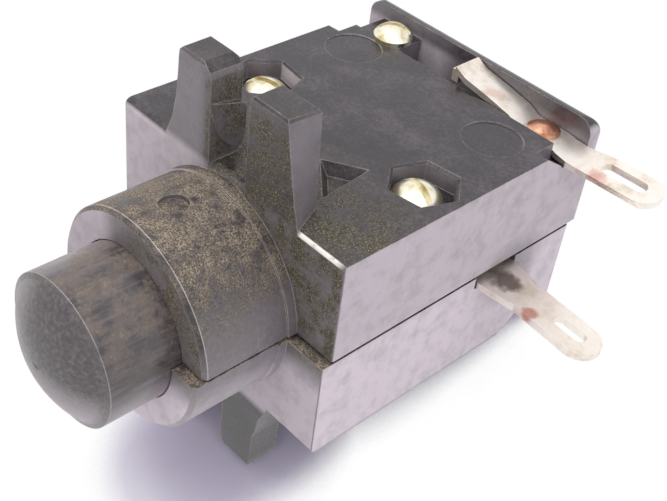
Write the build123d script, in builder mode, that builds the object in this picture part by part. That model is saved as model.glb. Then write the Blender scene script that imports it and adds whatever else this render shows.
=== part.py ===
from build123d import *
import os
from math import cos, radians, sin, sqrt

os.makedirs("parts", exist_ok=True)

# Pushbutton switch. Millimetres, +Z up, button axis along Y with the button pointing to -Y.
# The origin is on the button axis, in the plane of the casing's front face and of the parting plane.

# Casing outline
body_half_width = 14.0
body_top = 10.15
body_corner_r = 0.25
# Worn front edges of the top face: left of the posts, between them and right of them
front_edge_r = {"left": 0.8, "middle": 1.0, "right": 0.35}
groove_front_y = 26.78
wall_front_y = 30.2
body_rear_y = 31.92
wall_top = body_top + 1.54
wall_end_r = 1.5
groove_floor = body_top - 2.75
# The moulding reaches just past the axis plane. Flash holds the upper half off the lower one.
parting_face_z = -0.05
upper_face_z = 0.31
open_below = -1.0
lower_forward = 1.0

# Open ends of the groove
sill_inner_x = body_half_width - 1.4
sill_top = groove_floor + 0.9
relief_front_y = groove_front_y - 2.48
relief_bottom = groove_floor + 1.1

# Collar around the button
collar_r = 9.61
collar_front_y = -9.3
collar_edge = 0.35
collar_rear_y = 1.2
collar_root_r = collar_r + 0.18
collar_root_l = 0.9
collar_line_y = -3.9
collar_line_step = 0.015
dimple_x = -0.2
dimple_y = -5.0
dimple_r = 1.25
dimple_depth = 0.55

# Upright posts at the front of each casing half. Each row is one level: height over the top face,
# inner x, outer x at the front, outer x at the rear, and how far the front and rear are worn back.
post_depth = 3.2
post_middle_x = 4.4
right_post_levels = [
    (-1.15, 2.3, 8.85, 7.3, 0),
    (0, 2.3, 8.65, 7.25, 0),
    (1.85, 2.3, 8.1, 7.15, 0),
    (4.25, 2.3, 7.5, 7.0, 0),
    (6.65, 2.3, 7.0, 6.9, 0),
    (8.6, 2.35, 6.6, 6.8, 0),
    (8.85, 2.55, 6.4, 6.6, 0.2),
]
left_post_levels = [
    (-1.15, 2.3, 8.3, 7.3, 0),
    (0, 2.3, 8.0, 7.2, 0),
    (1.85, 2.3, 7.2, 6.9, 0),
    (4.25, 2.3, 6.7, 6.7, 0),
    (6.65, 2.3, 6.5, 6.6, 0),
    (7.75, 2.35, 6.45, 6.55, 0),
    (8.25, 2.55, 6.4, 6.5, 0),
    (8.6, 2.9, 6.35, 6.45, 0),
    (8.85, 3.5, 6.15, 6.25, 0.2),
]

# Tongue on the inner side of the left post: flush at the front, proud at the rear.
# Its outline gives y and the height over the top face.
tongue_proud = 0.7
tongue_outline = [
    (0, 5.6), (0.25, 4.1), (0.9, 2.4), (1.6, 1.5), (2.35, 0.96),
    (2.96, 1.21), (3.2, 2.2), (3.2, 4.7), (2.9, 5.1),
]

# Three-cornered hollow behind the right post
hollow_corners = [(2.5, 8.0), (6.0, 10.3), (6.6, 4.5)]
hollow_depth = 1.1
hollow_taper = 30

# Hexagonal pockets and the casing screws that pass through them
pocket_x = body_half_width - 4.0
pocket_y = 12.8
pocket_corner_r = 3.15
pocket_floor = body_top - 1.85
pocket_rim = 0.25
pocket_turn = {1: 9, -1: -8}
front_screw_r = 1.4
front_head_h = 1.75
front_nut_h = 1.7
pocket_clearance = 0.056
shank_clearance = 0.028
# The screws stand a little off the pockets' middles. The holes of the two halves are
# lower_forward apart, and the screw passes midway between them.
front_screw_inset = 0.3
front_screw_ahead = 0.35
front_screw_x = pocket_x - front_screw_inset
front_screw_y = pocket_y - front_screw_ahead
front_hole_y = front_screw_y + lower_forward / 2
front_hole_r = front_screw_r + lower_forward / 2 + shank_clearance
pocket_inner_r = pocket_corner_r * cos(radians(30))
upper_offset = sqrt(front_screw_inset**2 + front_screw_ahead**2)
lower_offset = sqrt(front_screw_inset**2 + (lower_forward - front_screw_ahead) ** 2)
front_head_r = pocket_inner_r - upper_offset - pocket_clearance
front_nut_af = 2 * (pocket_inner_r - lower_offset - pocket_clearance)
thread_gap = 0.01
thread_end = 0.3

# Rivet that joins the upper tag to its inner strip
rivet_x = body_half_width - 3.8
rivet_y = 28.5
rivet_r = 0.9
rivet_fit_gap = 0.02
rivet_flange_r = 1.55
rivet_flange_h = 0.15
rivet_head_r = 1.1
rivet_head_h = 0.35
rivet_head_base_h = 0.3
rivet_tail_r = 1.2
rivet_tail_h = 0.6
rivet_washer_r = 1.3
rivet_washer_t = 0.4

# Rear fixing holes in the groove, in a low block at the right and a full one at the left
rear_block_x = {1: body_half_width - 4.35, -1: body_half_width - 4.6}
rear_block_half = 2.6
rear_block_top = {1: groove_floor + 1.5, -1: body_top}
rear_screw_x = 5.4 - body_half_width
rear_screw_y = 27.9
rear_screw_r = 0.9
rear_head_r = 1.95
rear_head_h = 1.6
rear_nut_h = 1.2
rear_nut_gap = 0.05
rear_nut_af = 2 * (wall_front_y - lower_forward - rear_screw_y - rear_nut_gap)
# The right hole takes the rivet in the upper half and the screw in the lower one.
# Each row: distance from the middle, y, length, width, turn.
right_hole_w = 2 * rear_screw_r + abs(rear_screw_y + lower_forward - rivet_y) + 0.2
rear_holes = {
    1: (
        (rivet_x - rear_screw_x) / 2,
        (rivet_y + rear_screw_y + lower_forward) / 2,
        rivet_x + rear_screw_x + right_hole_w,
        right_hole_w,
        0,
    ),
    -1: (-rear_screw_x, rear_screw_y + 0.5, 3.3, 2.2, 90),
}

# Round ejector marks on the top face: centre x, centre y
ejector_marks = [(body_half_width - 5.1, 22.7), (4.6 - body_half_width, 23.3)]
ejector_r = 2.8
ejector_depth = 0.12

# Button
button_r = 6.72
button_running_gap = 0.08
button_rim_y = -15.85
button_rim_w = 0.5
button_rim_rise = 0.2
button_dome_h = 2.1
travel = 3.2
flange_r = button_r + 1.18
flange_t = 1.3
flange_rest_gap = 0.05
hollow_r = 5.2
spring_seat_y = -12.5
boss_r = 2.5
boss_rear_y = -1.0
socket_floor_y = -7.0

# Chambers inside the casing halves
shoulder_y = 2.0
flange_chamber_r = flange_r + 0.3
contact_chamber_half_x = 6.0
contact_chamber_top = 7.2
contact_chamber_rear_y = 24.4
rear_chamber_front_y = 21.0
rear_chamber_rear_y = 29.9
rear_chamber_top = groove_floor - 2.0
rear_chamber_near_x = -6.6
rear_chamber_far_x = body_half_width - 1.2

# Guide disc, which the pressed button nearly reaches
disc_r = flange_chamber_r - 0.1
disc_t = 1.4
disc_seat_gap = 0.05
disc_ring_r = 3.3
disc_ring_h = 0.8
flange_stop_gap = 0.4
flange_front_y = shoulder_y + flange_rest_gap
flange_rear_y = flange_front_y + flange_t
disc_front_y = flange_rear_y + travel + flange_stop_gap
disc_rear_y = disc_front_y + disc_t
flange_chamber_rear_y = disc_rear_y + disc_seat_gap + lower_forward

# Plunger rod
rod_r = 1.6
rod_running_gap = 0.08
rod_press_gap = 0.02
rod_front_y = -6.9
rod_rear_y = 23.6
rod_shoulder_y = 15.2
rod_shoulder_t = 0.8
rod_shoulder_r = 2.8
clip_groove_y = 22.25
clip_groove_w = 0.5
clip_groove_r = 1.15

# Contact bridge, its spring and its clip
bridge_front_y = 21.6
bridge_t = 0.6
bridge_half_x = 5.6
bridge_half_z = 1.75
contact_x = 4.3
contact_z = 0.5
contact_r = 1.1
contact_t = 0.7
clip_t = 0.4
clip_inner_r = 1.2
clip_outer_r = 2.5
clip_mouth = 1.6

# Springs: mean radius, wire radius, number of turns
return_coil_r = 3.9
return_wire_r = 0.3
return_turns = 6
contact_coil_r = 2.25
contact_wire_r = 0.2
contact_turns = 3
spring_end_gap = 0.04

# Fixed contacts stand just behind the bridge's contacts at full travel
contact_gap_closed = 0.2
bridge_rear_y = bridge_front_y + bridge_t
fixed_front_y = bridge_rear_y + contact_t + travel + contact_gap_closed
leg_front_y = fixed_front_y + contact_t
leg_inner_x = 2.2
leg_outer_x = 6.4
strip_t = 0.6
strip_top = rear_chamber_top - 0.05
strip_rear_y = rear_chamber_rear_y - 0.3
strip_far_x = rear_chamber_far_x - 0.6
upper_leg_bottom = -1.2
lower_leg_top = 2.4

# Upper tag: x from the rivet, y from the rivet, top over its seat, width, twist in degrees about X
tag_t = 0.6
tag_seat_z = rear_block_top[1] + 0.7
upper_tag_stations = [
    (-9.8, 0, 2.2, 3.2, 0),
    (-8.5, 0, 1.6, 3.2, 0),
    (-5.7, 0, 1.15, 3.2, 0),
    (-3.0, 0, 0.6, 3.2, 0),
    (-1.7, 0, 0, 3.2, 0),
    (1.8, 0, 0, 3.2, 0),
    (2.7, 0, -0.25, 3.2, 3),
    (3.9, 0.05, -0.4, 3.2, 7),
    (5.0, 0.25, -0.45, 3.2, 10),
    (7.0, 0.4, -0.35, 3.3, 13),
    (12.6, 0.45, -0.2, 3.3, 13),
]
upper_tag_end_r = 1.65
upper_slot_x = rivet_x + 8.8
upper_slot_l = 4.6
tag_slot_w = 1.3
prong_x = rivet_x - 10.1
prong_w = 0.8
prong_front_y = rivet_y - 1.6
prong_t = 0.6
prong_bottom = body_top + 0.15

# Lower tag, in plan
lower_tag_gap = 0.05
lower_tag_top = -0.45
lower_tag_t = 0.7
lower_root_front_y = 17.8
lower_root_rear_y = 22.9
lower_root_x = 6.3
lower_neck_x = body_half_width + 0.3
lower_waist_x = body_half_width + 4.0
lower_waist_y = 20.1
lower_half_w = 1.95
lower_tip_x = body_half_width + 10.25
lower_tip_y = 19.5
lower_arm_outer_x = 8.0
lower_slot_x = body_half_width + 8.95
lower_slot_y = 19.75
lower_slot_l = 3.5
lower_slot_turn = -5

# Slot at the parting plane for the lower tag, with its channel to the rear
tag_side_gap = 0.2
notch_front_y = lower_root_front_y + lower_forward - tag_side_gap
notch_rear_y = lower_root_rear_y + lower_forward + tag_side_gap
notch_depth = lower_tag_t - lower_tag_top + lower_tag_gap
channel_far_x = lower_arm_outer_x + 0.1
channel_rear_y = leg_front_y + lower_tag_t + lower_forward + 0.1


def y_plane(y):
    """Plane across the button axis at a given y, with local x along X and local y along Z."""
    return Plane.XZ.offset(-y)


def dome_point(base_r, height, r):
    """How far a spherical dome has dropped below its top at radius r."""
    sphere_r = (base_r**2 + height**2) / (2 * height)
    return sphere_r - sqrt(sphere_r**2 - r**2)


def box_between(low, high, mode=Mode.ADD):
    """Box between two opposite corners, for use inside a part builder."""
    size = [h - l for l, h in zip(low, high)]
    with Locations(tuple((l + h) / 2 for l, h in zip(low, high))):
        Box(*size, mode=mode)


def post_section(side, height, inner_x, front_outer_x, rear_outer_x, wear):
    """Plan of a post at one level."""
    with BuildSketch(Plane.XY.offset(body_top + height)) as section:
        with BuildLine():
            Polyline(
                (side * inner_x, wear),
                (side * front_outer_x, wear),
                (side * rear_outer_x, post_depth - wear),
                (side * inner_x, post_depth - wear),
                close=True,
            )
        make_face()
    return section.sketch.face()


# Low step around the upper half of the collar's root
with BuildPart() as root_ring:
    with BuildSketch(Plane.XY):
        with BuildLine():
            Polyline(
                (collar_r - collar_root_l, -collar_root_l),
                (collar_root_r, -collar_root_l),
                (collar_root_r, collar_rear_y),
                (collar_r - collar_root_l, collar_rear_y),
                close=True,
            )
        make_face()
    revolve(axis=Axis.Y)
    box_between(
        (-collar_root_r, -collar_root_l, parting_face_z),
        (collar_root_r, collar_rear_y, collar_root_r),
        Mode.INTERSECT,
    )

# Wedge-shaped tongue
with BuildPart() as tongue:
    with BuildSketch(Plane.XY.offset(body_top)):
        inner_x = -left_post_levels[0][1]
        with BuildLine():
            Polyline(
                (inner_x - tongue_proud, 0),
                (inner_x, 0),
                (inner_x + tongue_proud, post_depth),
                (inner_x - tongue_proud, post_depth),
                close=True,
            )
        make_face()
    extrude(amount=tongue_outline[0][1])
    with BuildSketch(Plane.YZ.offset(inner_x - tongue_proud)):
        with Locations((0, body_top)):
            Polygon(*tongue_outline, align=None)
    extrude(amount=2 * tongue_proud, mode=Mode.INTERSECT)

# One casing half, shown as the upper one. The lower half is the same moulding turned over
# about the button axis. The section across X carries the groove and the rear wall.
with BuildPart() as half:
    with BuildSketch(Plane.YZ):
        with BuildLine():
            Polyline(
                (0, parting_face_z),
                (0, body_top),
                (groove_front_y, body_top),
                (groove_front_y, groove_floor),
                (wall_front_y, groove_floor),
                (wall_front_y, wall_top),
                (body_rear_y, wall_top),
                (body_rear_y, parting_face_z),
                close=True,
            )
        make_face()
    extrude(amount=body_half_width, both=True)
    with BuildSketch(Plane.XY.offset(open_below)):
        with Locations((0, body_rear_y / 2)):
            RectangleRounded(2 * body_half_width, body_rear_y, body_corner_r)
    extrude(amount=wall_top - open_below, mode=Mode.INTERSECT)
    wall_ends = half.edges().filter_by(Axis.Y).group_by(Axis.Z)[-1]
    fillet(wall_ends, wall_end_r)
    front_edges = (
        (-body_half_width, -post_middle_x, front_edge_r["left"]),
        (-post_middle_x, post_middle_x, front_edge_r["middle"]),
        (post_middle_x, body_half_width, front_edge_r["right"]),
    )
    for from_x, to_x, edge_r in front_edges:
        with BuildSketch(Plane.YZ.offset(from_x)):
            with Locations((0, body_top)):
                Rectangle(edge_r, edge_r, align=(Align.MIN, Align.MAX))
            with Locations((edge_r, body_top - edge_r)):
                Circle(edge_r, mode=Mode.SUBTRACT)
        extrude(amount=to_x - from_x, mode=Mode.SUBTRACT)

    # Groove ends: a sill at each side, with the corner in front of it sloped away
    for side in (1, -1):
        xs = sorted((side * sill_inner_x, side * body_half_width))
        box_between((xs[0], groove_front_y, groove_floor), (xs[1], wall_front_y, sill_top))
        with BuildSketch(Plane.YZ.offset(side * sill_inner_x)):
            with BuildLine():
                Polyline(
                    (relief_front_y, body_top),
                    (groove_front_y, relief_bottom),
                    (groove_front_y, body_top),
                    close=True,
                )
            make_face()
        extrude(amount=side * (body_half_width - sill_inner_x), mode=Mode.SUBTRACT)
        # Block that carries a rear fixing
        middle = side * rear_block_x[side]
        box_between(
            (middle - rear_block_half, groove_front_y, groove_floor),
            (middle + rear_block_half, wall_front_y, rear_block_top[side]),
        )

    # Half collar, with a fine mould line round it, a soft edge at its mouth and a low step at its root
    for from_y, to_y, ring_r in (
        (collar_rear_y, collar_line_y, collar_r),
        (collar_line_y, collar_front_y, collar_r - collar_line_step),
    ):
        with BuildSketch(y_plane(from_y)):
            Circle(ring_r)
            with Locations((0, parting_face_z)):
                Rectangle(2 * collar_r, 2 * collar_r, align=(Align.CENTER, Align.MIN), mode=Mode.INTERSECT)
        extrude(amount=from_y - to_y)
    collar_rim = half.edges().filter_by(GeomType.CIRCLE).sort_by(Axis.Y)[0]
    chamfer(collar_rim, collar_edge)
    add(root_ring.part)

    # Posts: straight inner side, outer side leaning out to a flared foot
    for side, levels in ((1, right_post_levels), (-1, left_post_levels)):
        loft([post_section(side, *level) for level in levels], ruled=True)
    add(tongue.part)

    # Hollow behind the right post
    with BuildSketch(Plane.XY.offset(body_top)):
        Polygon(*hollow_corners, align=None)
    extrude(amount=-hollow_depth, taper=hollow_taper, mode=Mode.SUBTRACT)

    # Hexagonal pockets with a worn rim, and the screw holes under them
    for side, turn in pocket_turn.items():
        with BuildSketch(Plane.XY.offset(body_top)):
            with Locations((side * pocket_x, pocket_y)):
                RegularPolygon(pocket_corner_r + pocket_rim, 6, rotation=turn)
        extrude(amount=-pocket_rim, taper=45, mode=Mode.SUBTRACT)
        with BuildSketch(Plane.XY.offset(pocket_floor)):
            with Locations((side * pocket_x, pocket_y)):
                RegularPolygon(pocket_corner_r, 6, rotation=turn)
        extrude(amount=body_top, mode=Mode.SUBTRACT)
        hole_x, hole_y, hole_l, hole_w, hole_turn = rear_holes[side]
        with BuildSketch(Plane.XY.offset(open_below)):
            with Locations((side * front_screw_x, front_hole_y)):
                Circle(front_hole_r)
            with Locations((side * hole_x, hole_y)):
                SlotOverall(hole_l, hole_w, rotation=hole_turn)
        extrude(amount=wall_top, mode=Mode.SUBTRACT)

    # Ejector marks and the dimple on the collar
    with BuildSketch(Plane.XY.offset(body_top)):
        with Locations(*ejector_marks):
            Circle(ejector_r)
    extrude(amount=-ejector_depth, mode=Mode.SUBTRACT)
    with BuildSketch(Plane.XY.offset(collar_r)):
        with Locations((dimple_x, dimple_y)):
            Circle(dimple_r)
    extrude(amount=-dimple_depth, mode=Mode.SUBTRACT)

    # Bore for the button, round chamber for its flange, chambers for the contacts
    with BuildSketch(y_plane(collar_front_y)):
        Circle(button_r + button_running_gap)
    extrude(amount=collar_front_y - shoulder_y, mode=Mode.SUBTRACT)
    with BuildSketch(y_plane(shoulder_y)):
        Circle(flange_chamber_r)
    extrude(amount=shoulder_y - flange_chamber_rear_y, mode=Mode.SUBTRACT)
    box_between(
        (-contact_chamber_half_x, flange_chamber_rear_y - 1, open_below),
        (contact_chamber_half_x, contact_chamber_rear_y, contact_chamber_top),
        Mode.SUBTRACT,
    )
    box_between(
        (rear_chamber_near_x, rear_chamber_front_y, open_below),
        (rear_chamber_far_x, rear_chamber_rear_y, rear_chamber_top),
        Mode.SUBTRACT,
    )
    # Slot at the parting plane for the tag of the other half's side, with its channel to the rear
    box_between(
        (-body_half_width, notch_front_y, open_below),
        (-contact_chamber_half_x, notch_rear_y, notch_depth),
        Mode.SUBTRACT,
    )
    box_between(
        (-channel_far_x, notch_front_y, open_below),
        (-contact_chamber_half_x, channel_rear_y, notch_depth),
        Mode.SUBTRACT,
    )

with BuildPart() as upper_casing:
    add(half.part)
    box_between(
        (-body_half_width, collar_front_y, open_below),
        (body_half_width, body_rear_y, upper_face_z),
        Mode.SUBTRACT,
    )

with BuildPart() as lower_casing:
    with Locations(Location((0, -lower_forward, 0), (0, 180, 0))):
        add(half.part)

# Button: a domed cap with a flange that the casing's shoulder holds in, hollow for the spring
dome_r = button_r - button_rim_w
dome_base_y = button_rim_y - button_rim_rise
dome_tip_y = dome_base_y - button_dome_h
with BuildPart() as push_button:
    with BuildSketch(Plane.XY):
        with BuildLine():
            ThreePointArc(
                (0, dome_tip_y),
                (dome_r / 2, dome_tip_y + dome_point(dome_r, button_dome_h, dome_r / 2)),
                (dome_r, dome_base_y),
            )
            Polyline(
                (dome_r, dome_base_y),
                (button_r, button_rim_y),
                (button_r, flange_front_y),
                (flange_r, flange_front_y),
                (flange_r, flange_rear_y),
                (hollow_r, flange_rear_y),
                (hollow_r, spring_seat_y),
                (boss_r, spring_seat_y),
                (boss_r, boss_rear_y),
                (rod_r + rod_press_gap, boss_rear_y),
                (rod_r + rod_press_gap, socket_floor_y),
                (0, socket_floor_y),
                (0, dome_tip_y),
            )
        make_face()
    revolve(axis=Axis.Y)

# Plunger rod: pressed into the button's boss, with a shoulder for the contact spring
with BuildPart() as plunger:
    with BuildSketch(Plane.XY):
        with BuildLine():
            Polyline(
                (0, rod_front_y),
                (rod_r, rod_front_y),
                (rod_r, rod_shoulder_y),
                (rod_shoulder_r, rod_shoulder_y),
                (rod_shoulder_r, rod_shoulder_y + rod_shoulder_t),
                (rod_r, rod_shoulder_y + rod_shoulder_t),
                (rod_r, clip_groove_y),
                (clip_groove_r, clip_groove_y),
                (clip_groove_r, clip_groove_y + clip_groove_w),
                (rod_r, clip_groove_y + clip_groove_w),
                (rod_r, rod_rear_y),
                (0, rod_rear_y),
                close=True,
            )
        make_face()
    revolve(axis=Axis.Y)

# Guide disc: guides the rod, and its front ring centres the return spring
with BuildPart() as guide_disc:
    with BuildSketch(y_plane(disc_rear_y)):
        Circle(disc_r)
    extrude(amount=disc_t)
    with BuildSketch(y_plane(disc_front_y)):
        Circle(disc_ring_r)
    extrude(amount=disc_ring_h)
    with BuildSketch(y_plane(disc_rear_y)):
        Circle(rod_r + rod_running_gap)
    extrude(amount=disc_t + disc_ring_h, mode=Mode.SUBTRACT)


def coil(front_y, rear_y, mean_r, wire_r, turns):
    """Coil spring along the button axis between two seats."""
    start_y = front_y + wire_r + spring_end_gap
    height = rear_y - front_y - 2 * (wire_r + spring_end_gap)
    with BuildPart() as spring:
        with BuildLine():
            path = Helix(height / turns, height, mean_r, center=(0, start_y, 0), direction=(0, 1, 0))
        with BuildSketch(Plane(origin=path @ 0, z_dir=path % 0)):
            RegularPolygon(wire_r, 6)
        sweep(path=path, is_frenet=True)
    return spring.part


with BuildPart() as return_spring:
    add(coil(spring_seat_y, disc_front_y, return_coil_r, return_wire_r, return_turns))

rod_seat_y = rod_shoulder_y + rod_shoulder_t
with BuildPart() as contact_spring:
    add(coil(rod_seat_y, bridge_front_y, contact_coil_r, contact_wire_r, contact_turns))

# Contact bridge: a bar on the rod, with a contact riveted at each end
with BuildPart() as contact_bridge:
    with BuildSketch(y_plane(bridge_rear_y)):
        RectangleRounded(2 * bridge_half_x, 2 * bridge_half_z, 0.8)
        Circle(rod_r + rod_running_gap, mode=Mode.SUBTRACT)
    extrude(amount=bridge_t)

with BuildPart() as moving_contacts:
    with BuildSketch(y_plane(bridge_rear_y)):
        with Locations((contact_x, contact_z), (-contact_x, contact_z)):
            Circle(contact_r)
    extrude(amount=-contact_t)

with BuildPart() as retaining_clip:
    with BuildSketch(y_plane(clip_groove_y + (clip_groove_w - clip_t) / 2)):
        Circle(clip_outer_r)
        Circle(clip_inner_r, mode=Mode.SUBTRACT)
        with Locations((0, -clip_outer_r)):
            Rectangle(clip_mouth, 2 * clip_outer_r, mode=Mode.SUBTRACT)
    extrude(amount=-clip_t)

with BuildPart() as upper_fixed_contact:
    with BuildSketch(y_plane(leg_front_y)):
        with Locations((-contact_x, contact_z)):
            Circle(contact_r)
    extrude(amount=contact_t)

with BuildPart() as lower_fixed_contact:
    with BuildSketch(y_plane(leg_front_y)):
        with Locations((contact_x, contact_z)):
            Circle(contact_r)
    extrude(amount=contact_t)

# Inner strip of the upper tag: lies under the groove's floor and is folded down behind the bridge
with BuildPart() as inner_strip:
    box_between((-leg_outer_x, leg_front_y, strip_top - strip_t), (strip_far_x, strip_rear_y, strip_top))
    box_between(
        (-leg_outer_x, leg_front_y, upper_leg_bottom),
        (-leg_inner_x, leg_front_y + strip_t, strip_top),
    )
    with BuildSketch(Plane.XY):
        with Locations((rivet_x, rivet_y)):
            Circle(rivet_r)
    extrude(amount=strip_top, mode=Mode.SUBTRACT)


def tag_section(x, y, top, width, twist):
    """Cross-section of the upper tag at one station along X."""
    middle = Vector(rivet_x + x, rivet_y + y, tag_seat_z + top - tag_t / 2)
    across = Vector(0, cos(radians(twist)), sin(radians(twist)))
    with BuildSketch(Plane(origin=middle, x_dir=across, z_dir=(1, 0, 0))) as section:
        Rectangle(width, tag_t)
    return section.sketch.face()


# Upper tag: sprung up out of the groove at its inner end, twisted and rounded at its outer end
with BuildPart() as upper_tag:
    loft([tag_section(*station) for station in upper_tag_stations], ruled=True)
    tip_x = rivet_x + upper_tag_stations[-1][0]
    tip_y = rivet_y + upper_tag_stations[-1][1]
    with BuildSketch(Plane.XY):
        with Locations((tip_x, tip_y)):
            Rectangle(2 * upper_tag_end_r, 4 * upper_tag_end_r)
        with Locations((tip_x - upper_tag_end_r, tip_y)):
            Circle(upper_tag_end_r, mode=Mode.SUBTRACT)
        with Locations((upper_slot_x, tip_y)):
            SlotOverall(upper_slot_l, tag_slot_w)
        with Locations((rivet_x, rivet_y)):
            Circle(rivet_r)
    extrude(amount=2 * wall_top, mode=Mode.SUBTRACT)
    box_between(
        (prong_x, prong_front_y, prong_bottom),
        (prong_x + prong_w, prong_front_y + prong_t, tag_seat_z + upper_tag_stations[0][2] - tag_t / 2),
    )

# Copper rivet with a domed head, its tail spread over a washer
rivet_head_base = tag_seat_z + rivet_head_base_h
rivet_dome_top = rivet_head_base + rivet_head_h
with BuildPart() as turned_rivet:
    with BuildSketch(Plane.XZ):
        with BuildLine():
            ThreePointArc(
                (0, rivet_dome_top),
                (rivet_head_r / 2, rivet_dome_top - dome_point(rivet_head_r, rivet_head_h, rivet_head_r / 2)),
                (rivet_head_r, rivet_head_base),
            )
            Polyline(
                (rivet_head_r, rivet_head_base),
                (rivet_flange_r, tag_seat_z + rivet_flange_h),
                (rivet_flange_r, tag_seat_z),
                (rivet_r - rivet_fit_gap, tag_seat_z),
                (rivet_r - rivet_fit_gap, strip_top - strip_t - rivet_washer_t),
                (rivet_tail_r, strip_top - strip_t - rivet_washer_t),
                (rivet_tail_r * 0.8, strip_top - strip_t - rivet_washer_t - rivet_tail_h),
                (0, strip_top - strip_t - rivet_washer_t - rivet_tail_h),
                (0, rivet_dome_top),
            )
        make_face()
    revolve(axis=Axis.Z)
with BuildPart() as tag_rivet:
    with Locations((rivet_x, rivet_y, 0)):
        add(turned_rivet.part)

with BuildPart() as rivet_washer:
    with BuildSketch(Plane.XY.offset(strip_top - strip_t - rivet_washer_t)):
        with Locations((rivet_x, rivet_y)):
            Circle(rivet_washer_r)
            Circle(rivet_r, mode=Mode.SUBTRACT)
    extrude(amount=rivet_washer_t)

# Lower tag: flat, with an arm to the rear that is folded up behind the bridge
with BuildPart() as lower_tag:
    with BuildSketch(Plane.XY.offset(lower_tag_top - lower_tag_t)):
        with BuildLine():
            tip_rear = (lower_tip_x, lower_tip_y + lower_half_w)
            tip_front = (lower_tip_x, lower_tip_y - lower_half_w)
            Polyline(
                tip_rear,
                (lower_waist_x, lower_waist_y + lower_half_w),
                (lower_neck_x, lower_root_rear_y),
                (lower_arm_outer_x, lower_root_rear_y),
                (lower_arm_outer_x, leg_front_y + lower_tag_t),
                (leg_inner_x, leg_front_y + lower_tag_t),
                (leg_inner_x, leg_front_y),
                (lower_root_x, leg_front_y),
                (lower_root_x, lower_root_front_y),
                (lower_neck_x, lower_root_front_y),
                (lower_waist_x, lower_waist_y - lower_half_w),
                tip_front,
            )
            ThreePointArc(tip_front, (lower_tip_x + lower_half_w, lower_tip_y), tip_rear)
        make_face()
        with Locations(Location((lower_slot_x, lower_slot_y, 0), (0, 0, lower_slot_turn))):
            SlotOverall(lower_slot_l, tag_slot_w, mode=Mode.SUBTRACT)
    extrude(amount=lower_tag_t)
    box_between(
        (leg_inner_x, leg_front_y, lower_tag_top - lower_tag_t),
        (leg_outer_x, leg_front_y + lower_tag_t, lower_leg_top),
    )


def slotted_screw(head_r, head_h, shank_r, length, slot_turn):
    """Round-headed slotted screw with its axis along Z and the underside of the head at z = 0."""
    rim_h = head_h * 0.3
    slot_w = head_r * 0.28
    with BuildPart() as screw:
        with BuildSketch(Plane.XZ):
            with BuildLine():
                dome_h = head_h - rim_h
                ThreePointArc(
                    (0, head_h),
                    (head_r / 2, head_h - dome_point(head_r, dome_h, head_r / 2)),
                    (head_r, rim_h),
                )
                Polyline(
                    (head_r, rim_h),
                    (head_r, 0),
                    (shank_r, 0),
                    (shank_r, thread_end - length),
                    (shank_r - thread_end, -length),
                    (0, -length),
                    (0, head_h),
                )
            make_face()
        revolve(axis=Axis.Z)
        with BuildSketch(Plane.XY.offset(head_h * 0.55)):
            Rectangle(3 * head_r, slot_w, rotation=slot_turn)
        extrude(amount=head_h, mode=Mode.SUBTRACT)
    return screw.part


def hex_nut(across_flats, height, hole_r, turn=0):
    """Hexagonal nut with its axis along Z and its upper face at z = 0."""
    with BuildPart() as nut:
        with BuildSketch():
            RegularPolygon(across_flats / 2, 6, major_radius=False, rotation=turn)
            Circle(hole_r, mode=Mode.SUBTRACT)
        extrude(amount=-height)
    return nut.part


front_shank_l = 2 * pocket_floor + front_nut_h + thread_end
front_nut_bore_r = front_screw_r + thread_gap
with BuildPart() as right_screw:
    with Locations((front_screw_x, front_screw_y, pocket_floor)):
        add(slotted_screw(front_head_r, front_head_h, front_screw_r, front_shank_l, -12.5))
with BuildPart() as left_screw:
    with Locations((-front_screw_x, front_screw_y, pocket_floor)):
        add(slotted_screw(front_head_r, front_head_h, front_screw_r, front_shank_l, 24))
with BuildPart() as right_nut:
    with Locations((front_screw_x, front_screw_y, -pocket_floor)):
        add(hex_nut(front_nut_af, front_nut_h, front_nut_bore_r, -pocket_turn[-1]))
with BuildPart() as left_nut:
    with Locations((-front_screw_x, front_screw_y, -pocket_floor)):
        add(hex_nut(front_nut_af, front_nut_h, front_nut_bore_r, -pocket_turn[1]))

rear_head_z = rear_block_top[-1]
rear_nut_z = -rear_block_top[1]
rear_shank_l = rear_head_z - rear_nut_z + rear_nut_h + thread_end
with BuildPart() as rear_screw:
    with Locations((rear_screw_x, rear_screw_y, rear_head_z)):
        add(slotted_screw(rear_head_r, rear_head_h, rear_screw_r, rear_shank_l, 35))
with BuildPart() as rear_nut:
    with Locations((rear_screw_x, rear_screw_y, rear_nut_z)):
        add(hex_nut(rear_nut_af, rear_nut_h, rear_screw_r + thread_gap))

pieces = {
    "upper_casing": upper_casing,
    "lower_casing": lower_casing,
    "push_button": push_button,
    "plunger": plunger,
    "guide_disc": guide_disc,
    "return_spring": return_spring,
    "contact_spring": contact_spring,
    "contact_bridge": contact_bridge,
    "moving_contacts": moving_contacts,
    "retaining_clip": retaining_clip,
    "upper_fixed_contact": upper_fixed_contact,
    "lower_fixed_contact": lower_fixed_contact,
    "inner_strip": inner_strip,
    "upper_tag": upper_tag,
    "tag_rivet": tag_rivet,
    "rivet_washer": rivet_washer,
    "lower_tag": lower_tag,
    "right_screw": right_screw,
    "left_screw": left_screw,
    "right_nut": right_nut,
    "left_nut": left_nut,
    "rear_screw": rear_screw,
    "rear_nut": rear_nut,
}
for name, piece in pieces.items():
    piece.part.label = name
    export_step(piece.part, f"parts/{name}.step")
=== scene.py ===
"""Looks of an old pushbutton switch, laid out as a Blender add-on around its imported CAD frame."""

import math

import bpy
from bpy.props import FloatProperty, FloatVectorProperty, PointerProperty
from mathutils import Matrix, Vector


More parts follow.
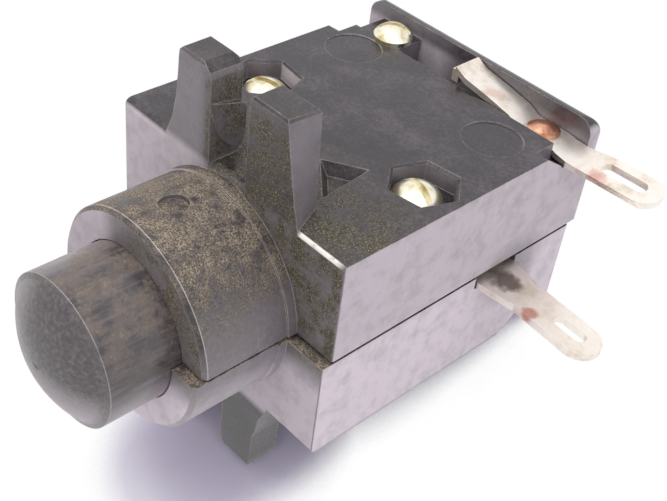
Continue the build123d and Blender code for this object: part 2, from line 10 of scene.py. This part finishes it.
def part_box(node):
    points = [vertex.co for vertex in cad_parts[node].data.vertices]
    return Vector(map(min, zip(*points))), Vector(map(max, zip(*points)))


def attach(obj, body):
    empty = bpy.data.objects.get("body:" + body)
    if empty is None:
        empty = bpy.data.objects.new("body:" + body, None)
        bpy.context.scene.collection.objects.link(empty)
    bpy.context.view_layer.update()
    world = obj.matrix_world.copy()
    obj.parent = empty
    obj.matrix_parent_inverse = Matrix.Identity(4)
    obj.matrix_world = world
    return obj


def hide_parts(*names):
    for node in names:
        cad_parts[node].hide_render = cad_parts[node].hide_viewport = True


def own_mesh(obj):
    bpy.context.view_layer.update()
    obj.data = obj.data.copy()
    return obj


bl_info = {
    "name": "Pushbutton switch looks",
    "version": (1, 0, 0),
    "blender": (4, 5, 0),
    "location": "View3D > Sidebar > Switch",
    "description": "Materials, worn details, floor, lights and camera for a pushbutton switch",
    "category": "Object",
}

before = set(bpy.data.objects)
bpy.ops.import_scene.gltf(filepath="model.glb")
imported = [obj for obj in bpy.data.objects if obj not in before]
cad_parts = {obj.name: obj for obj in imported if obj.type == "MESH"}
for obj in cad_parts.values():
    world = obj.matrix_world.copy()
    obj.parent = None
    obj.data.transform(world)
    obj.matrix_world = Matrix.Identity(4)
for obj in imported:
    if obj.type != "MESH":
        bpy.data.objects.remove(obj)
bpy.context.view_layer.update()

MM = 0.001

# The switch lies on the tips of its lower posts and on the lower edge of its rear wall
POST_TIP_Y = 2.6 * MM
WALL_FOOT_Z = -11.69 * MM
# The table is this much lower than those two lines, and reaches this far in metres
TABLE_GAP = 0.02 * MM
TABLE_REACH = 3.0
# The shadow on the table is deeper around this place under the button
DEEP_SHADOW_PLACE = (1.5 * MM, -5.5 * MM, -17 * MM)

# A noise pattern's inputs: coordinates, features per metre, layers of detail and their strength
NOISE_INPUTS = ("Vector", "Scale", "Detail", "Roughness")

# Strength of the even light on matt surfaces, where 1 is the white that the camera sees
ROOM_LIGHT = 0.85
# Each lamp: name, place in metres, size in metres, watts and colour. All shine at LAMPS_AIM.
LAMPS = (
    ("window", (-0.06, -0.10, 0.34), 0.22, 0.55, "fffaf4"),
    ("room", (0.24, -0.06, 0.22), 0.3, 0.15, "f4f4ff"),
)
LAMPS_AIM = (0, 0.01, 0)

# Stains on the tags, and painted shade of the body on the lower tag's root: place and radius in
# millimetres, colour and strength
TAG_STAINS_AND_SHADE = (
    ((17.2, 27.4, 9.3), 1.3, "c9674a", 0.55),
    ((19.6, 18.4, -0.4), 0.9, "c0503c", 0.6),
    # Painted shade of the body on the lower tag's root
    ((15.3, 20.0, -0.4), 1.7, "5f5146", 0.8),
    ((4.5, 28.0, 10.9), 1.2, "c98a6c", 0.35),
)
# Place of the painted shade on the lower half's right side, next to the lower tag's root, where the pale
# coat is thinned
SIDE_SHADE_PLACE = (14 * MM, 23.0 * MM, -1.6 * MM)


# Colours, nodes and masks


def srgb(code):
    """Linear colour, with alpha 1, from an sRGB hex code such as 3a2f28."""
    channels = [int(code[i : i + 2], 16) / 255 for i in (0, 2, 4)]
    return [c / 12.92 if c <= 0.04045 else ((c + 0.055) / 1.055) ** 2.4 for c in channels] + [1.0]


def node(tree, kind, inputs=None, output=0, stops=(), **settings):
    """Adds a shader node and returns one of its outputs, or all of them when output is None. inputs
    maps an input's name or number to a number, a vector, a colour or another node's output. stops
    are a colour ramp's positions and sRGB hex codes. settings are the node's properties."""
    made = tree.nodes.new(kind)
    for name, value in settings.items():
        setattr(made, name, value)
    for key, value in (inputs or {}).items():
        if isinstance(value, bpy.types.NodeSocket):
            tree.links.new(value, made.inputs[key])
        else:
            made.inputs[key].default_value = value
    if stops:
        elements = made.color_ramp.elements
        while len(elements) < len(stops):
            elements.new(0.5)
        for element, (position, code) in zip(elements, stops):
            element.position = position
            element.color = srgb(code)
    return tuple(made.outputs) if output is None else made.outputs[output]


def joined(tree, operation, steps):
    """Steps joined by one arithmetic operation. A step is a number, a socket, or a socket with the two
    values between which it goes from 0 to 1, or between two levels that follow them."""
    result = None
    for step in steps:
        if isinstance(step, tuple):
            source, low, high, *levels = step
            to_low, to_high = levels or (0.0, 1.0)
            limits = {"From Min": low, "From Max": high, "To Min": to_low, "To Max": to_high}
            step = node(tree, "ShaderNodeMapRange", {"Value": source, **limits})
        pair = {0: result, 1: step}
        result = step if result is None else node(tree, "ShaderNodeMath", pair, operation=operation)
    return result


def mask(tree, *steps):
    """Soft mask that is strong where all its steps are."""
    return joined(tree, "MULTIPLY", steps)


def either(tree, *steps):
    """Soft mask that is strong where one of its steps is."""
    return joined(tree, "MAXIMUM", steps)


def coated(tree, colour, *coats):
    """Colour under coats. Each coat is a mask and a colour, which is a socket, a linear colour or an
    sRGB hex code."""
    for strength, coat in coats:
        layers = {"Factor": strength, "A": colour, "B": srgb(coat) if isinstance(coat, str) else coat}
        colour = node(tree, "ShaderNodeMix", layers, "Result", data_type="RGBA")
    return colour


def new_material(name):
    """Material without nodes yet, and its tree."""
    material = bpy.data.materials.new(name)
    material.use_nodes = True
    material.node_tree.nodes.clear()
    return material, material.node_tree


def paint(names, material):
    """Gives CAD nodes one material."""
    for name in names:
        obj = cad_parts[name]
        obj.data.materials.clear()
        obj.data.materials.append(material)


# Settings


class SwitchFinish(bpy.types.PropertyGroup):
    # Dust also sets the strength of the painted shade between the upper posts
    dust: FloatProperty(
        name="Dust", description="How much brown dust lies on the resin", default=1.0, min=0, max=2
    )
    edge_radius: FloatProperty(
        name="Edge radius",
        description="Radius of the worn edges",
        default=0.14 * MM,
        min=0,
        subtype="DISTANCE",
    )
    # Colour of the pale bloom and of the painted reflection of the white table on the casing
    bloom_and_reflection: FloatVectorProperty(
        name="Bloom",
        description="Colour of the pale bloom on the casing",
        default=srgb("d6ccd4"),
        size=4,
        min=0,
        max=1,
        subtype="COLOR",
    )
    # Colour of the grey film and of the painted reflection of the white table on the button
    film_and_reflection: FloatVectorProperty(
        name="Film",
        description="Colour of the grey film on the button",
        default=srgb("c6bbc2"),
        size=4,
        min=0,
        max=1,
        subtype="COLOR",
    )


class SwitchStage(bpy.types.PropertyGroup):
    camera_place: FloatVectorProperty(
        name="Camera place",
        description="Place of the camera in the frame of the switch",
        default=(0.055822, -0.047919, 0.063659),
        subtype="TRANSLATION",
    )
    azimuth: FloatProperty(
        name="Azimuth", description="Camera azimuth", default=math.radians(42.07), subtype="ANGLE"
    )
    elevation: FloatProperty(
        name="Elevation", description="Camera elevation", default=math.radians(39.23), subtype="ANGLE"
    )
    roll: FloatProperty(
        name="Roll", description="Camera roll", default=math.radians(7.68), subtype="ANGLE"
    )
    lens: FloatProperty(name="Lens", description="Focal length in millimetres", default=60.83, min=1)
    table: FloatVectorProperty(
        name="Table",
        description="Colour of the table",
        default=srgb("f3f2f3"),
        size=4,
        min=0,
        max=1,
        subtype="COLOR",
    )
    shadow: FloatVectorProperty(
        name="Shadow",
        description="Colour of the table in the shadow of the switch",
        default=srgb("c9c3d6"),
        size=4,
        min=0,
        max=1,
        subtype="COLOR",
    )


# Materials


def edge_mask(tree, radius):
    """White along convex and concave edges, where the bevelled and the flat normal differ."""
    flat = node(tree, "ShaderNodeNewGeometry", output="Normal")
    rounded = node(tree, "ShaderNodeBevel", {"Radius": radius}, samples=6)
    normals = {0: rounded, 1: flat}
    alike = node(tree, "ShaderNodeVectorMath", normals, "Value", operation="DOT_PRODUCT")
    differ = node(tree, "ShaderNodeMath", {0: 1.0, 1: alike}, operation="SUBTRACT")
    return mask(tree, (differ, 0.0, 0.12))


def resin_surface(tree, finish, place, colour, haze_and_reflection, dirt_and_shade, polish, shine):
    """Resin shader. The mask of haze and painted reflection and the mask of dirt and painted shade each
    take away some of the polish, which is the roughness of the clean surface. shine is the specular
    level."""
    # Grain of 0.28 mm and waves of 1.9 mm
    fine, coarse = [
        node(tree, "ShaderNodeTexNoise", dict(zip(NOISE_INPUTS, looks)))
        for looks in ((place, 3600.0, 4.0, 0.7), (place, 520.0, 6.0, 0.65))
    ]
    matt = (either(tree, haze_and_reflection, dirt_and_shade), 0.0, 1.0, polish, 0.8)
    rough = joined(tree, "ADD", (matt, (coarse, 0.35, 0.7, -0.05, 0.08)))
    rounded = node(tree, "ShaderNodeBevel", {"Radius": finish.edge_radius}, samples=6)
    waves = {"Height": coarse, "Strength": 0.22, "Distance": 0.08 * MM, "Normal": rounded}
    uneven = node(tree, "ShaderNodeBump", waves)
    grain = {"Height": fine, "Strength": 0.3, "Distance": 0.025 * MM, "Normal": uneven}
    grainy = node(tree, "ShaderNodeBump", grain)
    looks = {"Base Color": colour, "Roughness": rough, "Normal": grainy}
    gloss = {"IOR": 1.6, "Specular IOR Level": shine}
    surface = node(tree, "ShaderNodeBsdfPrincipled", {**looks, **gloss})
    node(tree, "ShaderNodeOutputMaterial", {"Surface": surface}, None)


def casing_bloom_and_reflection(tree, place, normal, to_front, blotch):
    """Mask of the pale bloom and of the painted reflection of the white table: full on the casing's
    sides, more on the lower half, on what faces down and on the front faces to the left and low down,
    most on the collar's front, weak on inner walls and on the posts, and thin where painted shade lies
    next to the lower tag's root on the right side."""
    x, y, z = node(tree, "ShaderNodeSeparateXYZ", {"Vector": place}, None)
    from_middle = node(tree, "ShaderNodeMath", {0: x}, operation="ABSOLUTE")
    sideways = node(tree, "ShaderNodeMath", {0: normal[0]}, operation="ABSOLUTE")
    on_sides = mask(
        tree,
        (sideways, 0.72, 0.93),
        (from_middle, 13.0 * MM, 13.8 * MM, 0.3, 1.0),
        (z, 0.6 * MM, -0.6 * MM, 0.74, 0.95),
        (z, -10.6 * MM, -9.8 * MM, 0.1, 1.0),
    )
    left_or_low = either(tree, (x, -1 * MM, -4 * MM), (z, 0.5 * MM, -3 * MM))
    below_upper_posts = (z, 10.6 * MM, 9.8 * MM, 0.3, 1.0)
    above_lower_posts = (z, -10.6 * MM, -9.8 * MM)
    off_posts = joined(tree, "MINIMUM", (below_upper_posts, above_lower_posts))
    foremost = (y, -9.6 * MM, -10.1 * MM, 0.72, 0.95)
    on_front = mask(tree, to_front, left_or_low, foremost, off_posts)
    below = mask(tree, (normal[2], 0.25, -0.35), off_posts, 0.55)
    # Painted shade next to the lower tag's root, where the pale coat is thinned
    ends = {0: place, 1: SIDE_SHADE_PLACE}
    from_side_shade = node(tree, "ShaderNodeVectorMath", ends, "Value", operation="DISTANCE")
    patches = (blotch, 0.3, 0.55, 0.72, 1.0)
    off_side_shade = (from_side_shade, 0.9 * MM, 4.6 * MM, 0.35, 1.0)
    return mask(tree, either(tree, on_sides, on_front, below), patches, off_side_shade)


def casing_dirt_and_shade(tree, place, normal, to_front, blotch):
    """Mask of the dirt on the front of the top face and on the front face right of the axis, and of dust
    and painted shade on the upper posts, whose inner faces between them carry the painted shade."""
    x, y, z = node(tree, "ShaderNodeSeparateXYZ", {"Vector": place}, None)
    from_middle = node(tree, "ShaderNodeMath", {0: x}, operation="ABSOLUTE")
    front_right = mask(tree, to_front, (x, -3 * MM, 1 * MM))
    on_body = mask(
        tree,
        (y, 11 * MM, 3 * MM),
        (x, -10 * MM, -5 * MM),
        (z, 16 * MM, 12 * MM, 0.15, 1.0),
        either(tree, (normal[2], 0.1, 0.8), mask(tree, front_right, (z, -2 * MM, 1 * MM))),
    )
    # Dust on the posts' fronts, and painted shade on their inner faces between them
    posts_dust_and_shade = mask(
        tree,
        (z, 10.2 * MM, 10.6 * MM),
        (z, 18.6 * MM, 17.6 * MM),
        (y, 3.6 * MM, 3.3 * MM),
        either(tree, (from_middle, 3.3 * MM, 2.7 * MM), front_right),
        0.9,
    )
    return mask(tree, either(tree, on_body, posts_dust_and_shade), (blotch, 0.38, 0.56, 0.12, 1.0))


def highlight_and_chip_lines(tree, place, edges, blotch):
    """Mask of the pale lines: a painted highlight along the front edge of the top face right of the
    posts, and pale chips along the collar's mouth."""
    x, y, z = node(tree, "ShaderNodeSeparateXYZ", {"Vector": place}, None)
    # Painted highlight along the top face's front edge
    top_edge_highlight = mask(
        tree,
        (x, 8.6 * MM, 9.0 * MM),
        (x, 13.9 * MM, 13.0 * MM),
        (z, 9.74 * MM, 9.84 * MM),
        (y, 0.26 * MM, 0.18 * MM),
    )
    mouth = mask(
        tree,
        edges,
        (y, -8.7 * MM, -8.9 * MM),
        (y, -9.2 * MM, -9.1 * MM),
        (z, 0.2 * MM, 0.6 * MM),
    )
    return mask(tree, either(tree, top_edge_highlight, mouth), (blotch, 0.3, 0.45, 0.35, 0.9))


def moulded_resin(finish):
    """Black phenolic resin, compression moulded and aged. It looks grey-violet, with a pale bloom and a
    painted reflection of the white table on the sides and on what faces down, dark oily dirt with fine
    specks towards the front, painted shade between the upper posts, grey-brown powder on the collar
    whose upper side is paler with painted light, pale worn edges, a painted highlight along the top
    face's front edge and pale chips on the collar's mouth."""
    material, tree = new_material("Black phenolic, moulded")
    place = node(tree, "ShaderNodeTexCoord", output="Object")
    y = node(tree, "ShaderNodeSeparateXYZ", {"Vector": place}, "Y")
    flat = node(tree, "ShaderNodeNewGeometry", output="Normal")
    normal = node(tree, "ShaderNodeSeparateXYZ", {"Vector": flat}, None)
    to_front = mask(tree, (normal[1], -0.7, -0.92))

    # Clouds of 3.8 mm, patches of 1.6 mm, grain of 0.33 mm, specks of 0.14 mm and powder of 0.13 mm.
    # Real grain and powder are finer, and are drawn as coarse as they need to show.
    cloud, blotch, grain, speck, powder = [
        node(tree, "ShaderNodeTexNoise", dict(zip(NOISE_INPUTS, looks)))
        for looks in (
            (place, 260.0, 6.0, 0.62),
            (place, 620.0, 7.0, 0.68),
            (place, 3000.0, 5.0, 0.75),
            (place, 7000.0, 2.0, 0.5),
            (place, 7500.0, 2.0, 0.6),
        )
    ]
    uneven = joined(tree, "ADD", (mask(tree, cloud, 0.45), mask(tree, grain, 0.55)))
    tones = ((0.36, "1c181b"), (0.5, "302b2f"), (0.64, "514a50"))
    body = node(tree, "ShaderNodeValToRGB", {"Fac": uneven}, stops=tones)
    # Pale bloom, and painted reflection of the white table on the sides, on what faces down and on the
    # front
    haze_and_reflection = casing_bloom_and_reflection(tree, place, normal, to_front, blotch)
    # Dirt, and painted shade between the upper posts, in dark oily colours
    dirt_and_shade = mask(tree, casing_dirt_and_shade(tree, place, normal, to_front, blotch), finish.dust)
    dark_dirt_and_shade = node(tree, "ShaderNodeValToRGB", {"Fac": grain}, stops=((0.36, "1c1a13"), (0.64, "57513f")))
    tones = ((0.34, "38322a"), (0.5, "6c6155"), (0.66, "a89a88"))
    powdery = node(tree, "ShaderNodeValToRGB", {"Fac": powder}, stops=tones)
    # Pale powder on the collar's upper side and dark dirt on its flanks: dust, with painted light that
    # makes the upper side paler than the flanks
    collar_dust_and_light = mask(tree, (y, 0.2 * MM, -0.6 * MM), (normal[2], 0.3, 0.9, 0.15, 1.0))
    crumbs = mask(tree, dirt_and_shade, (speck, 0.57, 0.64), 0.75)
    edges = edge_mask(tree, finish.edge_radius)
    worn = mask(tree, edges, (blotch, 0.38, 0.6, 0.15, 1.0), 0.75)
    colour = coated(
        tree,
        body,
        (haze_and_reflection, tuple(finish.bloom_and_reflection)),
        (dirt_and_shade, coated(tree, dark_dirt_and_shade, (collar_dust_and_light, powdery))),
        (crumbs, "a3957c"),
        (worn, "b3a9a2"),
        # Painted highlight on the top face's front edge, and pale chips on the collar's mouth
        (highlight_and_chip_lines(tree, place, edges, blotch), "f4efe9"),
    )
    resin_surface(tree, finish, place, colour, haze_and_reflection, dirt_and_shade, polish=0.26, shine=0.5)
    return material


def polished_resin(finish):
    """Black phenolic resin polished by use. It looks glossy, with fine lines along the barrel, a grey
    film with a painted reflection of the white table, strongest on what faces down and on the left side,
    brown dust on the barrel's upper side and a pale rim."""
    material, tree = new_material("Black phenolic, polished by use")
    place = node(tree, "ShaderNodeTexCoord", output="Object")
    y = node(tree, "ShaderNodeSeparateXYZ", {"Vector": place}, "Y")
    flat = node(tree, "ShaderNodeNewGeometry", output="Normal")
    nx, _, nz = node(tree, "ShaderNodeSeparateXYZ", {"Vector": flat}, None)
    along_barrel = {0: place, 1: (1.0, 0.07, 1.0)}
    drawn = node(tree, "ShaderNodeVectorMath", along_barrel, operation="MULTIPLY")

    # Lines of 0.38 by 5.5 mm, patches of 1.9 mm and specks of 0.24 mm
    lines, blotch, speck = [
        node(tree, "ShaderNodeTexNoise", dict(zip(NOISE_INPUTS, looks)))
        for looks in (
            (drawn, 2600.0, 5.0, 0.65),
            (place, 520.0, 7.0, 0.68),
            (place, 4200.0, 3.0, 0.6),
        )
    ]
    tones = ((0.35, "242022"), (0.5, "3a3536"), (0.66, "5a5354"))
    body = node(tree, "ShaderNodeValToRGB", {"Fac": lines}, stops=tones)
    # Grey film, and painted reflection of the white table on what faces down and on the left side
    under_barrel = mask(tree, (nz, 0.1, -0.8), 0.75)
    under_dome = mask(tree, (nz, 0.05, -0.5), (y, -15.7 * MM, -16.4 * MM))
    to_left = mask(tree, (nx, -0.1, -0.75), 0.6)
    film_and_reflection_amount = either(tree, under_barrel, under_dome, to_left, 0.05)
    haze_and_reflection = mask(tree, film_and_reflection_amount, (blotch, 0.3, 0.6, 0.7, 1.0))
    on_barrel = (y, -16.2 * MM, -15.6 * MM)
    to_top = (nz, -0.1, 0.7)
    dirt_and_shade = mask(tree, on_barrel, to_top, (blotch, 0.42, 0.58), 0.6 * finish.dust)
    crumbs = mask(tree, dirt_and_shade, (speck, 0.56, 0.64), 0.6)
    worn = mask(tree, edge_mask(tree, finish.edge_radius), (blotch, 0.3, 0.5, 0.45, 1.0), 0.85)
    film_and_reflection_coat = (haze_and_reflection, tuple(finish.film_and_reflection))
    colour = coated(tree, body, film_and_reflection_coat, (dirt_and_shade, "75675a"), (crumbs, "9a8f76"), (worn, "c4bbb6"))
    resin_surface(tree, finish, place, colour, haze_and_reflection, dirt_and_shade, polish=0.2, shine=0.6)
    return material


def turned_resin(finish):
    """Brown phenolic rod and board, turned and clean. It looks warm brown and half matt."""
    material, tree = new_material("Brown phenolic, turned")
    place = node(tree, "ShaderNodeTexCoord", output="Object")
    # Clouds of 1.4 mm and patches of 3.3 mm
    cloud, patches = [
        node(tree, "ShaderNodeTexNoise", dict(zip(NOISE_INPUTS, looks)))
        for looks in ((place, 700.0, 4.0, 0.6), (place, 300.0, 0.0, 0.6))
    ]
    tones = ((0.3, "3a2518"), (0.5, "4a2f1f"), (0.7, "5a3a26"))
    colour = node(tree, "ShaderNodeValToRGB", {"Fac": cloud}, stops=tones)
    haze_and_reflection = mask(tree, patches, 0.2)
    resin_surface(tree, finish, place, colour, haze_and_reflection, haze_and_reflection, polish=0.4, shine=0.5)
    return material


def plated(name, tones, tint, roughness, scale, marks=()):
    """Metal that looks clouded, with dull patches. tones are the clean, usual and dull colours, and
    tint is what shows where the plating has gone. scale is in clouds per metre. The bare patches
    are about twice as large as the clouds. The grain is a ninth of their size, which is coarser than
    the real one, so that it shows."""
    material, tree = new_material(name)
    place = node(tree, "ShaderNodeTexCoord", output="Object")
    cloud, bare, grain = [
        node(tree, "ShaderNodeTexNoise", dict(zip(NOISE_INPUTS, looks)))
        for looks in (
            (place, scale, 5.0, 0.6),
            (place, scale * 0.45, 7.0, 0.7),
            (place, scale * 9, 3.0, 0.6),
        )
    ]
    stops = ((0.35, tones[2]), (0.5, tones[1]), (0.68, tones[0]))
    clouded = node(tree, "ShaderNodeValToRGB", {"Fac": cloud}, stops=stops)
    colour = coated(tree, clouded, (mask(tree, (bare, 0.62, 0.7, 0.0, 0.7)), tint))
    # Marks: stains, and painted shade where the list gives one
    for spot, radius, mark_colour, strength in marks:
        ends = {0: place, 1: [value * MM for value in spot]}
        away = node(tree, "ShaderNodeVectorMath", ends, "Value", operation="DISTANCE")
        fringe = 0.4 * radius * MM
        ragged = joined(tree, "ADD", (away, (cloud, 0.3, 0.7, -fringe, fringe)))
        marked = mask(tree, (ragged, radius * MM, 0.5 * radius * MM, 0.0, strength))
        colour = coated(tree, colour, (marked, mark_colour))
    rough = mask(tree, (cloud, 0.3, 0.7, roughness + 0.12, roughness - 0.08))
    bump = node(tree, "ShaderNodeBump", {"Height": grain, "Strength": 0.2, "Distance": 0.03 * MM})
    looks = {"Base Color": colour, "Roughness": rough, "Normal": bump, "Metallic": 1.0}
    surface = node(tree, "ShaderNodeBsdfPrincipled", looks)
    node(tree, "ShaderNodeOutputMaterial", {"Surface": surface}, None)
    return material


# Operators


class SWITCH_OT_casing(bpy.types.Operator):
    """Aged phenolic on both casing halves"""

    bl_idname = "switch.casing"
    bl_label = "Casing"

    def execute(self, context):
        paint(["upper_casing", "lower_casing"], moulded_resin(context.scene.switch_finish))
        return {"FINISHED"}


class SWITCH_OT_button(bpy.types.Operator):
    """Polished phenolic on the button"""

    bl_idname = "switch.button"
    bl_label = "Button"

    def execute(self, context):
        paint(["push_button"], polished_resin(context.scene.switch_finish))
        return {"FINISHED"}


class SWITCH_OT_metal(bpy.types.Operator):
    """Tinned tags, copper rivet and brass screws"""

    bl_idname = "switch.metal"
    bl_label = "Metal pieces"

    def execute(self, context):
        # Nearly white and soft, in clouds of 2.4 mm, reddish where the tin has gone
        tones = ("fffaf2", "faf2e8", "e0d5c3")
        tinned = plated("Tinned copper strip, worn", tones, "d19a7a", 0.38, 420.0, TAG_STAINS_AND_SHADE)
        paint(["upper_tag", "lower_tag", "inner_strip"], tinned)
        # Salmon-coloured and dull, in clouds of 1.4 mm
        copper = plated("Copper rivet, tarnished", ("edc0a6", "d29a7d", "8f5f4d"), "7c4a3a", 0.4, 700.0)
        paint(["tag_rivet"], copper)
        # Bright and pale yellow, in clouds of 1.4 mm
        brass = plated("Brass screw, turned", ("fffdf2", "f7f1d8", "cdbf92"), "9c8450", 0.3, 700.0)
        paint(["right_screw", "left_screw", "rear_screw", "right_nut", "left_nut", "rear_nut"], brass)
        return {"FINISHED"}


def shortening_spring():
    """Copy of the return spring, parented to the casing, in place of the CAD one. Its rear end rests on
    the guide disc.
    """
    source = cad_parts["return_spring"]
    spring = bpy.data.objects.new("shortening_spring", source.data.copy())
    spring.matrix_world = source.matrix_world.copy()
    bpy.context.scene.collection.objects.link(spring)
    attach(spring, "casing")
    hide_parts("return_spring")
    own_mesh(spring)


class SWITCH_OT_inside(bpy.types.Operator):
    """Mechanism inside the casing"""

    bl_idname = "switch.inside"
    bl_label = "Inside pieces"

    def execute(self, context):
        paint(["plunger", "guide_disc"], turned_resin(context.scene.switch_finish))
        # Mid grey and smooth, in clouds of 1.1 mm
        wire = plated("Spring wire, drawn", ("c9c9c6", "a9a9a6", "80807c"), "6d6a64", 0.3, 900.0)
        paint(["return_spring", "contact_spring", "retaining_clip"], wire)
        shortening_spring()
        # White and bright, in clouds of 1.1 mm
        silver = plated("Silver contact, pressed", ("f2f0ea", "dedbd2", "b5b1a6"), "8e897c", 0.28, 900.0)
        paint(["moving_contacts", "upper_fixed_contact", "lower_fixed_contact"], silver)
        # Yellow with brown patches, in clouds of 1.7 mm
        sheet = plated("Brass sheet, stamped", ("e6cf8f", "c9ae6c", "94793f"), "7c6232", 0.35, 600.0)
        paint(["contact_bridge", "rivet_washer"], sheet)
        return {"FINISHED"}


def table_material(stage):
    """White table. The camera sees plain white but for a soft violet shadow, which ends 30 mm from
    the switch and is deeper under the button. Mirroring pieces see plain white."""
    material, tree = new_material("White table, matt")
    lit = node(tree, "ShaderNodeBsdfDiffuse", {"Color": tuple(stage.table)})
    white = node(tree, "ShaderNodeEmission", {"Strength": 1.0})
    shaded = node(tree, "ShaderNodeBsdfDiffuse", {"Color": tuple(stage.shadow)})
    reach = {"Distance": 30 * MM}
    openness = node(tree, "ShaderNodeAmbientOcclusion", reach, "AO", samples=16)
    place = node(tree, "ShaderNodeTexCoord", output="Object")
    ends = {0: place, 1: DEEP_SHADOW_PLACE}
    from_deep = node(tree, "ShaderNodeVectorMath", ends, "Value", operation="DISTANCE")
    darker = (from_deep, 17 * MM, 7 * MM, 0.0, 0.42)
    clear = mask(tree, (joined(tree, "SUBTRACT", (openness, darker)), 0.2, 0.42))
    seen = node(tree, "ShaderNodeMixShader", {0: clear, 1: shaded, 2: white})
    rays = ("Is Camera Ray", "Is Glossy Ray", "Is Transmission Ray")
    camera, glossy, through = [node(tree, "ShaderNodeLightPath", output=ray) for ray in rays]
    others = node(tree, "ShaderNodeMixShader", {0: either(tree, glossy, through), 1: lit, 2: white})
    surface = node(tree, "ShaderNodeMixShader", {0: camera, 1: others, 2: seen})
    node(tree, "ShaderNodeOutputMaterial", {"Surface": surface}, None)
    return material


def pale_room():
    """World that lights evenly and looks white to the camera and in reflections."""
    world = bpy.data.worlds.new("Pale room")
    world.use_nodes = True
    tree = world.node_tree
    tree.nodes.clear()
    rays = ("Is Camera Ray", "Is Glossy Ray", "Is Transmission Ray")
    shown = either(tree, *[node(tree, "ShaderNodeLightPath", output=ray) for ray in rays])
    strength = mask(tree, (shown, 0.0, 1.0, ROOM_LIGHT, 1.0))
    looks = {"Strength": strength, "Color": srgb("fdfcff")}
    background = node(tree, "ShaderNodeBackground", looks)
    node(tree, "ShaderNodeOutputWorld", {"Surface": background}, None)
    return world


def add_table(scene):
    """Table that the switch lies on. It is tilted in the frame of the switch, because the posts reach
    lower than the rear wall."""
    low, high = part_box("lower_casing")
    tip = Vector((0, POST_TIP_Y, low.z))
    foot = Vector((0, high.y, WALL_FOOT_Z))
    along = (foot - tip).normalized()
    middle = tip - Vector((0, -along.z, along.y)) * TABLE_GAP
    corners = [
        middle + Vector((across * TABLE_REACH, 0, 0)) + along * away * TABLE_REACH
        for across, away in ((-1, -1), (1, -1), (1, 1), (-1, 1))
    ]
    mesh = bpy.data.meshes.new("table_top")
    mesh.from_pydata(corners, [], [(0, 1, 2, 3)])
    mesh.materials.append(table_material(scene.switch_stage))
    floor = bpy.data.objects.new("table_top", mesh)
    scene.collection.objects.link(floor)


def add_lamp(scene, name, place, size, power, tone):
    """Square lamp that shines at LAMPS_AIM."""
    data = bpy.data.lights.new(name, "AREA")
    data.size = size
    data.energy = power
    data.color = srgb(tone)[:3]
    lamp = bpy.data.objects.new(name, data)
    lamp.location = place
    lamp.rotation_mode = "QUATERNION"
    lamp.rotation_quaternion = (Vector(LAMPS_AIM) - Vector(place)).to_track_quat("-Z", "Y")
    scene.collection.objects.link(lamp)


def add_camera(scene, stage):
    """Camera that looks along its azimuth and elevation, rolled about that line."""
    az, el, roll = stage.azimuth, stage.elevation, stage.roll
    back = Vector((math.sin(az) * math.cos(el), -math.cos(az) * math.cos(el), math.sin(el)))
    level = Vector((math.cos(az), math.sin(az), 0))
    above = back.cross(level)
    right = math.cos(roll) * level + math.sin(roll) * above
    up = -math.sin(roll) * level + math.cos(roll) * above
    data = bpy.data.cameras.new("camera")
    data.lens = stage.lens
    data.sensor_width = 36.0
    data.clip_start = 0.001
    data.clip_end = 20.0
    camera = bpy.data.objects.new("camera", data)
    turn = Matrix((right, up, back)).transposed().to_4x4()
    camera.matrix_world = Matrix.Translation(stage.camera_place) @ turn
    scene.collection.objects.link(camera)
    scene.camera = camera


class SWITCH_OT_stage(bpy.types.Operator):
    """White table, lamps, world and camera"""

    bl_idname = "switch.stage"
    bl_label = "Stage"

    def execute(self, context):
        scene = context.scene
        add_table(scene)
        scene.world = pale_room()
        for lamp in LAMPS:
            add_lamp(scene, *lamp)
        add_camera(scene, scene.switch_stage)
        scene.view_settings.view_transform = "Standard"
        return {"FINISHED"}


class SWITCH_PT_panel(bpy.types.Panel):
    """Steps and settings of the switch's looks"""

    bl_label = "Pushbutton switch"
    bl_idname = "SWITCH_PT_panel"
    bl_space_type = "VIEW_3D"
    bl_region_type = "UI"
    bl_category = "Switch"

    def draw(self, context):
        layout = self.layout
        for name in ("dust", "edge_radius", "bloom_and_reflection", "film_and_reflection"):
            layout.prop(context.scene.switch_finish, name)
        for name in ("camera_place", "azimuth", "elevation", "roll", "lens", "table", "shadow"):
            layout.prop(context.scene.switch_stage, name)
        for step in STEPS:
            layout.operator(step.bl_idname)


STEPS = (
    SWITCH_OT_casing,
    SWITCH_OT_button,
    SWITCH_OT_metal,
    SWITCH_OT_inside,
    SWITCH_OT_stage,
)
CLASSES = (SwitchFinish, SwitchStage) + STEPS + (SWITCH_PT_panel,)


def register():
    for cls in CLASSES:
        bpy.utils.register_class(cls)
    bpy.types.Scene.switch_finish = PointerProperty(type=SwitchFinish)
    bpy.types.Scene.switch_stage = PointerProperty(type=SwitchStage)


def unregister():
    del bpy.types.Scene.switch_stage
    del bpy.types.Scene.switch_finish
    for cls in reversed(CLASSES):
        bpy.utils.unregister_class(cls)


def main():
    register()
    bpy.ops.switch.casing()
    bpy.ops.switch.button()
    bpy.ops.switch.metal()
    bpy.ops.switch.inside()
    bpy.ops.switch.stage()


if __name__ == "__main__":
    main()
